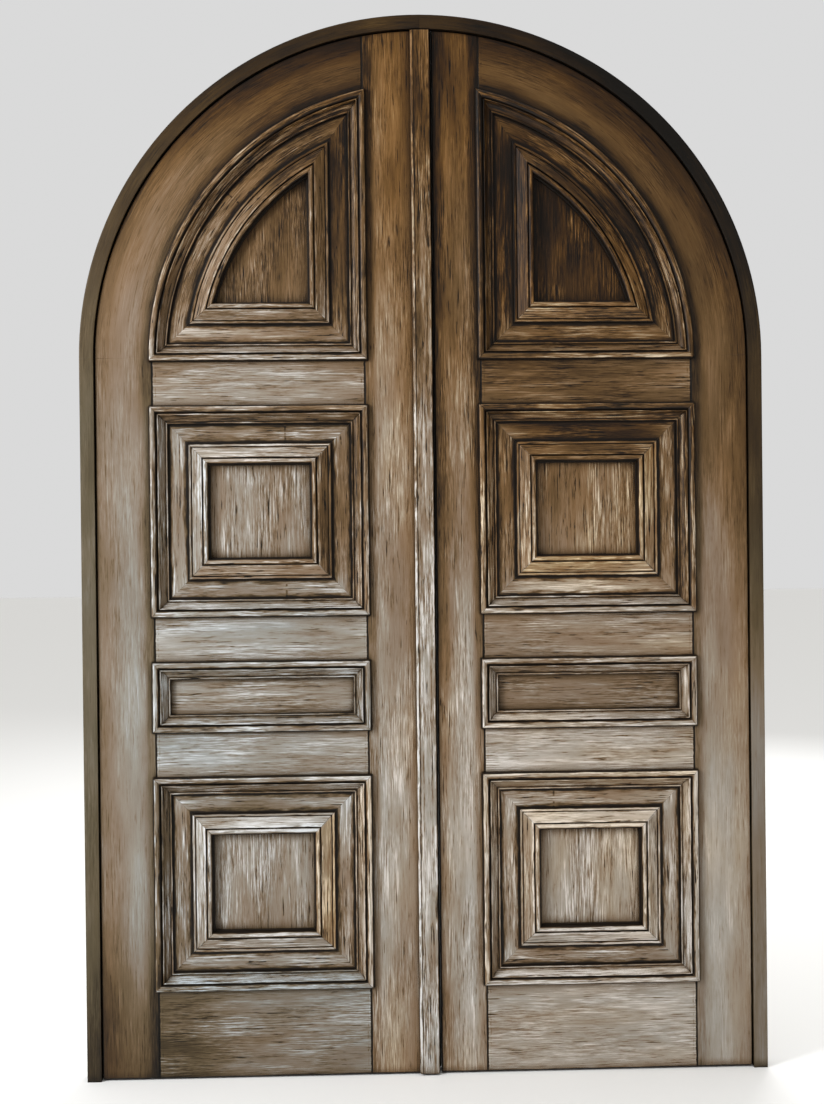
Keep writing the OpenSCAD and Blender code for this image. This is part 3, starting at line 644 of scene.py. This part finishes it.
def wood(finish, direction):
    """Driftwood paint with painted light and shade: a brown base lit and shaded over the door, brushed
    streaks along the grain, dark glaze with painted shade, and rubbed edges with painted highlights.
    """
    look = FINISHES[finish]
    paint = Paint(f"{finish}_{direction}")
    grain, x, z, reach = grain_coordinates(paint, direction)
    noises = {name: paint.noise(grain, *settings) for name, settings in NOISES.items()}
    painted_light_ground, hue = painted_light_and_hue(paint, look, noises, x, z)
    value = paint.math("ADD", painted_light_ground, paint.math("ADD", paint.attribute("tone"), look.tone))
    if look.lines in MOULDINGS:
        # Painted light from above: mouldings that face up are lighter, those that face down darker
        facing = paint.split(paint.make("NewGeometry", {}, output="Normal"))[2]
        value = paint.plus(value, paint.remap(facing, 0.15, 0.8), UPWARD_PAINTED_LIGHT)
        value = paint.plus(value, paint.remap(facing, -0.15, -0.8), DOWNWARD_PAINTED_SHADE)
    # Painted shadows across some boards beside the mouldings, the cover strip and the frame
    if finish in SHADE_PROFILES:
        strayed = paint.swung(reach, noises["patch"], PROFILE_STRAY)
        lightness, own_hue = profile_ramps(paint, strayed, SHADE_PROFILES[finish])
        value = paint.plus(value, lightness, paint.remap(noises["stroke"], 0.3, 0.6, 0.7, 1.15))
        hue = paint.math("ADD", hue, own_hue)
    value = brushwork(paint, look, noises, value, z)
    value = glazed_shaded_and_highlit(paint, look, noises, value, painted_light_ground)

    colour = paint.cast(1.0, paint.ramp(value, WOOD_STOPS), (*look.tint, 1))
    for sign, tint in ((1.0, WARM), (-1.0, COOL)):
        colour = paint.cast(paint.math("MULTIPLY", hue, sign, clamp=True), colour, tint)
    relief = paint.plus(noises["streak"], noises["fine"], 0.6)
    return paint.finish({
        "Base Color": colour,
        "Roughness": paint.remap(noises["streak"], 0.3, 0.7, 0.58, 0.42),
        "Normal": paint.make("Bump", {"Height": relief, "Strength": 0.5, "Distance": 0.0008}),
        "Specular IOR Level": 0.22,
    })


def iron():
    """Dark hinge iron with rubbed patches."""
    paint = Paint("dark_iron")
    place = paint.make("TexCoord", {}, output="Object")
    cloud = paint.noise(place, (60, 60, 60), 4)
    speck = paint.noise(place, (900, 900, 900), 2)
    colour = paint.ramp(paint.plus(paint.times(cloud, 0.65), speck, 0.35), [
        (0.3, (0.018, 0.016, 0.014)),
        (0.5, (0.045, 0.040, 0.036)),
        (0.7, (0.11, 0.10, 0.09)),
    ])
    normal = paint.make("Bump", {"Height": speck, "Strength": 0.3, "Distance": 0.0003})
    return paint.finish({
        "Base Color": colour,
        "Metallic": 0.8,
        "Roughness": paint.remap(cloud, 0.3, 0.7, 0.55, 0.38),
        "Normal": normal,
    })


PLAIN, OLIVE = (1, 1, 1), (0.86, 1.0, 1.16)
# A finish has the section whose lines it bears, and evened is how far the painted light and shade on the left
# side is evened out
Finish = namedtuple("Finish", "slot lines tone grain brush tint evened", defaults=(PLAIN, 0.0))
FINISHES = {
    "stile": Finish("stile_wood", "board", 0.0, 0.30, 0.4),
    "left_meeting": Finish("stile_wood", "board", 0.02, 0.62, 1.3),
    "right_meeting": Finish("stile_wood", "board", 0.02, 0.62, 1.3),
    "rail": Finish("stile_wood", "board", 0.05, 0.75, 1.4),
    "panel": Finish("panel_wood", "plain", 0.02, 1.0, 1.6),
    "band": Finish("panel_wood", "band", 0.02, 0.90, 2.5),
    "bolection": Finish("moulding_wood", "bolection", 0.02, 1.2, 3.0),
    "inner": Finish("moulding_wood", "inner", 0.02, 0.85, 2.3),
    "strip": Finish("moulding_wood", "strip", 0.08, 1.3, 2.8),
    "frame": Finish("frame_wood", "plain", -0.19, 0.22, 0.2, OLIVE, 0.5),
}
made_materials = {}


def material(finish, direction):
    if (finish, direction) not in made_materials:
        made_materials[finish, direction] = wood(finish, direction)
    return made_materials[finish, direction]


iron_material = iron()


# ---- Pieces ----

CREASE = math.radians(38)  # sharper edges than this are shaded as edges


def piece(mesh, node, finish, directions, added=None):
    """Turns a mesh into the piece that stands for a CAD node, or into an added piece on that node's body."""
    name = added or f"{node}_finish"
    bmesh.ops.recalc_face_normals(mesh, faces=mesh.faces)
    data = bpy.data.meshes.new(name)
    mesh.to_mesh(data)
    mesh.free()
    for direction in directions:
        data.materials.append(material(finish, direction))
    made = bpy.data.objects.new(name, data)
    bpy.context.scene.collection.objects.link(made)
    data.shade_smooth()
    data.set_sharp_from_angle(angle=CREASE)
    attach(made, BODY[node])
    if not added:
        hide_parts(node)


MEMBER_STEP = 0.37
member_count = 0


def next_member():
    """The number that gives a member its own grain."""
    global member_count
    member_count += 1
    return member_count * MEMBER_STEP


# How much lighter or darker some members are painted, mostly painted light and shade of the side each faces,
# in the order bottom, right, top, left, or on an arch bottom, side, arc
MEMBER_PAINTED_LIGHT = {
    ("left", "upper", "bolection"): (0.08, -0.10, -0.09, 0.0),
    ("left", "upper", "band"): (-0.03, -0.11, -0.09, 0.0),
    ("left", "upper", "inner"): (-0.08, -0.20, 0.0, 0.0),
    ("left", "lower", "bolection"): (0.08, 0.0, -0.08, -0.16),
    ("left", "lower", "band"): (0.12, -0.07, -0.08, -0.16),
    ("left", "lower", "inner"): (0.07, -0.06, 0.03, 0.04),
    ("left", "arch", "bolection"): (0.0, -0.08, -0.04),
    ("left", "arch", "band"): (-0.04, -0.15, -0.10),
    ("left", "arch", "inner"): (-0.04, -0.04, -0.07),
    ("right", "upper", "bolection"): (0.02, -0.16, -0.06, -0.02),
    ("right", "upper", "band"): (0.19, -0.06, -0.13, -0.11),
    ("right", "upper", "inner"): (0.06, 0.08, -0.06, -0.09),
    ("right", "lower", "bolection"): (0.06, 0.03, -0.03, -0.16),
    ("right", "lower", "band"): (-0.16, -0.05, -0.11, -0.18),
    ("right", "lower", "inner"): (0.10, -0.11, 0.10, -0.09),
    ("right", "arch", "bolection"): (0.02, -0.10, -0.04),
    ("right", "arch", "band"): (0.0, -0.20, -0.09),
    ("right", "arch", "inner"): (0.0, -0.09, -0.03),
}
# How much warmer or cooler some members are painted, mostly the painted tint of the light on the side each
# faces, in the same order
MEMBER_LIGHT_TINTS = {
    ("left", "upper", "bolection"): (0.0, 0.5, 0.4, 0.0),
    ("left", "upper", "band"): (0.0, 0.5, 0.2, 0.1),
    ("left", "upper", "inner"): (0.5, 0.7, 0.4, -0.1),
    ("left", "lower", "bolection"): (-0.5, 0.5, 0.2, 0.0),
    ("left", "lower", "band"): (-0.1, 0.3, -0.2, 0.0),
    ("left", "lower", "inner"): (0.3, 1.0, 0.1, 0.2),
    ("right", "upper", "bolection"): (-0.1, 0.3, 0.2, 0.4),
    ("right", "upper", "band"): (0.2, 0.0, 0.5, 0.4),
    ("right", "upper", "inner"): (0.6, 0.5, 0.4, 0.3),
    ("right", "lower", "bolection"): (0.1, 0.1, 0.2, 0.3),
    ("right", "lower", "inner"): (0.1, 0.2, 0.4, 0.2),
    ("right", "arch", "band"): (0.2, 0.6, 0.2),
    ("right", "arch", "inner"): (0.3, 0.6, 0.3),
    ("right", "arch", "bolection"): (0.2, 0.3, 0.2),
}


# Butt joints that show in the bands: (side, opening): {lane: share}
SEAMS = {("left", "upper"): {0: 0.64, 2: 0.36}, ("left", "arch"): {2: 0.47}, ("right", "lower"): {2: 0.7}}


def make_ring(side, opening, kind):
    node, lanes = ring_lanes(side, opening, kind)
    flip = -1 if side == "right" and opening == "arch" else 1
    directions = [direction for place, direction in lanes]
    member_lights, member_tints = (table.get((side, opening, kind), [0] * len(lanes)) for table in (MEMBER_PAINTED_LIGHT, MEMBER_LIGHT_TINTS))
    seams = SEAMS.get((side, opening), {}) if kind == "band" else {}
    mesh = new_mesh()
    for index, (place, direction) in enumerate(lanes):
        before = len(mesh.faces)
        section, seam = SECTIONS[kind], seams.get(index)
        sweep(mesh, kind, section, place, next_member(), member_lights[index], member_tints[index], flip=flip, seam=seam)
        mesh.faces.ensure_lookup_table()
        for face in mesh.faces[before:]:
            face.material_index = directions.index(direction)
    piece(mesh, node, kind, directions)


def make_strip():
    def foot(d):
        return STRIP_LOW.x + d, STRIP_LOW.z

    def head(d):
        x = STRIP_LOW.x + d
        return x, SPRINGING_Z + math.sqrt(FACE_R ** 2 - x * x)

    mesh = new_mesh()
    sweep(mesh, "strip", strip_section(), straight(foot, head), next_member(), spacing=20)
    piece(mesh, "cover_strip", "strip", ("z",))


ARRIS, GAP_ARRIS, BACK_ARRIS = 1.4, 0.5, 1.2  # widths of the softened edges, by the place of the edge
GAP_REACH = 6  # an edge this near the frame's gap runs along it
PAINTED_DEPTH = ARRIS + 0.1  # how far behind its front a board still shows the painter's lines
FACING_FRONT = -0.999
EDGE_RINGS = (3.2, 9)  # insets from the edge that carry the painter's lines over a board

# The slip is painted darker, as painted shade in the gap between the leaves
SLIP_PAINTED_SHADE = -0.42
SLIP_CLEARANCE = 0.5
SLIP_FRONT, SLIP_BACK = 15, 5  # its faces, from the leaf's back
SLIP_SINK = 0.5  # how far it stands in the leaf's edge
SLIP_NOSE = 0.6
SLIP_DROP = 1  # below the leaf's top


def make_slip():
    """A round-nosed slip on the left leaf's meeting edge, which keeps light from coming through."""
    edge_x = box("left_meeting_stile")[1].x
    nose_x = MEETING_X - SLIP_CLEARANCE
    front_y, back_y = BACK_Y - SLIP_FRONT, BACK_Y - SLIP_BACK
    turn = (nose_x - edge_x) / 2
    outline = [
        (edge_x - SLIP_SINK, front_y), (nose_x - turn, front_y),
        (nose_x - SLIP_NOSE, front_y + SLIP_NOSE), (nose_x, front_y + turn),
    ]
    outline += [(x, front_y + back_y - y) for x, y in reversed(outline)]
    top_r = LIP_R - SLIP_DROP
    mesh = new_mesh()
    layers = layers_of(mesh)
    number = next_member()
    foot = [mesh.verts.new((x * MM, y * MM, STRIP_LOW.z * MM)) for x, y in outline]
    head = [
        mesh.verts.new((x * MM, y * MM, (SPRINGING_Z + math.sqrt(top_r ** 2 - x * x)) * MM))
        for x, y in outline
    ]
    for vert in foot + head:
        for layer, value in zip(layers, (EDGE_RINGS[-1], 0, number, SLIP_PAINTED_SHADE, 0)):
            vert[layer] = value
    for i in range(len(outline)):
        j = (i + 1) % len(outline)
        mesh.faces.new((foot[i], foot[j], head[j], head[i]))
    mesh.faces.new(foot)
    mesh.faces.new(list(reversed(head)))
    piece(mesh, "left_meeting_stile", "left_meeting", ("z",), added="meeting_slip")


CLOSE = 1e-3  # millimetres within which two places are the same
CORNER, FLAT = math.radians(30), math.radians(0.5)


def outline_of(mesh, y):
    """Edges round a board's face, without the glued joints at the springing and the crown."""
    def is_glued(edge):
        at_springing = all(abs(v.co.z / MM - SPRINGING_Z) < CLOSE for v in edge.verts)
        return at_springing or all(abs(v.co.x / MM) < CLOSE for v in edge.verts)

    return [
        e for e in mesh.edges
        if all(abs(v.co.y / MM - y) < CLOSE for v in e.verts)
        and e.calc_face_angle(0) > CORNER and not is_glued(e)
    ]


def at_frame_gap(edge):
    """Whether an edge runs along the gap between the leaf and the frame."""
    return all(abs(gap_distance(v.co.x / MM, v.co.z / MM)) < GAP_REACH for v in edge.verts)


def gap_distance(x, z):
    return (math.hypot(x, z - SPRINGING_Z) if z > SPRINGING_Z else abs(x)) - FACE_R


def soften(mesh, edges, width):
    if edges:
        bmesh.ops.bevel(
            mesh, geom=edges, offset=width * MM, offset_type="OFFSET", segments=3, profile=0.5,
            affect="EDGES", clamp_overlap=True,
        )


def distance_to(segment, point):
    (ax, az), (bx, bz) = segment
    length_squared = (bx - ax) ** 2 + (bz - az) ** 2
    share = ((point[0] - ax) * (bx - ax) + (point[1] - az) * (bz - az)) / length_squared
    share = min(1, max(0, share))
    return math.dist(point, (ax + (bx - ax) * share, az + (bz - az) * share))


def cut_at_springing(mesh):
    """Gives the glued edge at the springing the same insets from the opening as the rest of the board."""
    def is_near(face):
        return abs(face.calc_center_median().z / MM - SPRINGING_Z) < EDGE_RINGS[-1]

    for ring in EDGE_RINGS:
        for sign in (-1, 1):
            faces = [f for f in mesh.faces if is_near(f)]
            parts = set(faces) | {e for f in faces for e in f.edges} | {v for f in faces for v in f.verts}
            plane_x = sign * (OPENING_R + ring) * MM
            bmesh.ops.bisect_plane(
                mesh, geom=list(parts), dist=CLOSE * MM, plane_co=(plane_x, 0, 0), plane_no=(1, 0, 0),
            )


def make_board(node, finish, direction, front_y, tone=0.0, hue=0.0, number=None):
    """A copy of a CAD board with softened arrises, its distance from the edge marked over its front."""
    mesh = new_mesh()
    mesh.from_mesh(frame["nodes"][node].data)
    layers = layers_of(mesh)
    bmesh.ops.remove_doubles(mesh, verts=mesh.verts, dist=CLOSE * MM)
    bmesh.ops.dissolve_limit(mesh, angle_limit=FLAT, verts=mesh.verts, edges=mesh.edges)
    number = number or next_member()
    all_edges = outline_of(mesh, front_y)
    edges = [e for e in all_edges if not at_frame_gap(e)]
    outline = [tuple((v.co.x / MM, v.co.z / MM) for v in e.verts) for e in edges]
    soften(mesh, edges, ARRIS)
    soften(mesh, [e for e in outline_of(mesh, front_y) if at_frame_gap(e)], GAP_ARRIS)
    soften(mesh, outline_of(mesh, BACK_Y), BACK_ARRIS)
    front = [
        f for f in mesh.faces
        if f.normal.y < FACING_FRONT and abs(f.calc_center_median().y / MM - front_y) < CLOSE
    ]
    inset = 0
    for ring in EDGE_RINGS:
        bmesh.ops.inset_region(mesh, faces=front, thickness=(ring - inset) * MM, use_even_offset=True)
        inset = ring
    if finish == "stile":
        cut_at_springing(mesh)
    for vert in mesh.verts:
        across = EDGE_RINGS[-1]
        point = (vert.co.x / MM, vert.co.z / MM)
        if vert.co.y / MM - front_y <= PAINTED_DEPTH:
            across = min([across] + [distance_to(segment, point) for segment in outline])
        for layer, value in zip(layers, (across, 0, number, tone, hue)):
            vert[layer] = value
    piece(mesh, node, finish, (direction,))


# Lightness and hue of the panels, then of the rails
BOARD_TONES = {
    "left_arch_panel": (-0.09, 0.0),
    "left_upper_panel": (0.0, 0.2),
    "left_narrow_panel": (0.03, 0.1),
    "left_lower_panel": (0.0, 0.2),
    "right_arch_panel": (-0.12, 0.5),
    "right_upper_panel": (0.0, 0.2),
    "right_narrow_panel": (-0.19, -0.1),
    "right_lower_panel": (-0.08, 0.1),
    "left_middle_rail": (0.02, 0.0),
    "left_bottom_rail": (-0.02, -0.5),
    "right_middle_rail": (-0.05, 0.0),
    "right_bottom_rail": (-0.02, 0.1),
}

for side in ("left", "right"):
    for opening in ("arch", "upper", "narrow", "lower"):
        make_ring(side, opening, "bolection")
        if opening != "narrow":
            make_ring(side, opening, "band")
            make_ring(side, opening, "inner")
    for rail in ("upper", "middle", "lower", "bottom"):
        node = f"{side}_{rail}_rail"
        make_board(node, "rail", "x", FACE_Y, *BOARD_TONES.get(node, (0.0, 0.0)))
    make_board(f"{side}_meeting_stile", f"{side}_meeting", "z", FACE_Y)
    for upright, curved_piece, finish, front_y in (
        ("hinge_stile", "arch_rail", "stile", FACE_Y),
        ("jamb", "head", "frame", FRAME_FRONT_Y),
    ):
        number = next_member()
        make_board(f"{side}_{upright}", finish, "z", front_y, number=number)
        make_board(f"{side}_{curved_piece}", finish, "arc", front_y, number=number)
    for opening, direction in (("arch", "z"), ("upper", "z"), ("narrow", "x"), ("lower", "z")):
        node = f"{side}_{opening}_panel"
        make_board(node, "panel", direction, box(node)[0].y, *BOARD_TONES[node])
make_strip()
make_slip()

for node, shown in frame["nodes"].items():
    if not shown.hide_render:
        shown.data.materials.clear()
        shown.data.materials.append(iron_material)


# ---- Floor, light and camera ----

FLOOR_REACH = 30
floor_mesh = bpy.data.meshes.new("floor")
floor_corners = [(x * FLOOR_REACH, y * FLOOR_REACH, 0) for x, y in ((-1, -1), (1, -1), (1, 1), (-1, 1))]
floor_mesh.from_pydata(floor_corners, [], [(0, 1, 2, 3)])
floor = bpy.data.objects.new("floor", floor_mesh)
bpy.context.scene.collection.objects.link(floor)
floor_paint = Paint("floor")
floor_mesh.materials.append(floor_paint.finish({"Base Color": (0.90, 0.90, 0.89, 1), "Roughness": 0.9}))


def softbox(name, place, target, size, power, colour):
    data = bpy.data.lights.new(name, "AREA")
    data.shape = "RECTANGLE"
    data.size, data.size_y = size
    data.energy = power
    data.color = colour
    lamp = bpy.data.objects.new(name, data)
    bpy.context.scene.collection.objects.link(lamp)
    lamp.location = place
    lamp.rotation_euler = (Vector(target) - Vector(place)).to_track_quat("-Z", "Y").to_euler()


softbox("key", (-3.3, -2.3, 2.6), (0, 0, 1.1), (1.1, 1.3), 150, (0.97, 0.98, 1.0))
softbox("fill", (2.6, -4.5, 1.8), (0, 0, 1.2), (3, 3), 20, (1.0, 0.95, 0.88))
softbox("back", (1.5, 4.0, 3.2), (0, 0, 1.2), (3, 2), 120, (1, 1, 1))

# The sky is bright overhead and dim at eye level, and the camera sees it plain
SKY_LOW, SKY_HIGH, SKY_SEEN = 0.15, 1.9, 0.70
world = bpy.data.worlds.new("studio")
bpy.context.scene.world = world
world.use_nodes = True
sky = Nodes(world.node_tree)
up = sky.math("MAXIMUM", sky.split(sky.make("TexCoord", {}, output="Generated"))[2], 0.0)
strength = sky.plus(SKY_LOW, sky.math("POWER", up, 4.0), SKY_HIGH)
light = sky.make("Background", {0: (1, 0.99, 0.97, 1), 1: strength})
seen = sky.make("Background", {0: (1, 1, 1, 1), 1: SKY_SEEN})
is_camera_ray = sky.make("LightPath", {}, output="Is Camera Ray")
sky.end("World", sky.make("MixShader", {0: is_camera_ray, 1: light, 2: seen}))

bpy.context.scene.view_settings.view_transform = "Standard"

CAMERA_X, CAMERA_Z, CAMERA_DISTANCE = -0.118, 1.220, 3.0
LENS = 42.54
YAW, PITCH, ROLL = (math.radians(degrees) for degrees in (-1.692, -0.304, -0.610))
camera_data = bpy.data.cameras.new("camera")
camera_data.sensor_width = 36
camera_data.lens = LENS
camera = bpy.data.objects.new("camera", camera_data)
bpy.context.scene.collection.objects.link(camera)
camera.location = (CAMERA_X, FACE_Y * MM - CAMERA_DISTANCE, CAMERA_Z)
turn = Matrix.Rotation(YAW, 3, "Z") @ Matrix.Rotation(math.pi / 2 + PITCH, 3, "X")
camera.rotation_euler = (turn @ Matrix.Rotation(ROLL, 3, "Z")).to_euler()
bpy.context.scene.camera = camera
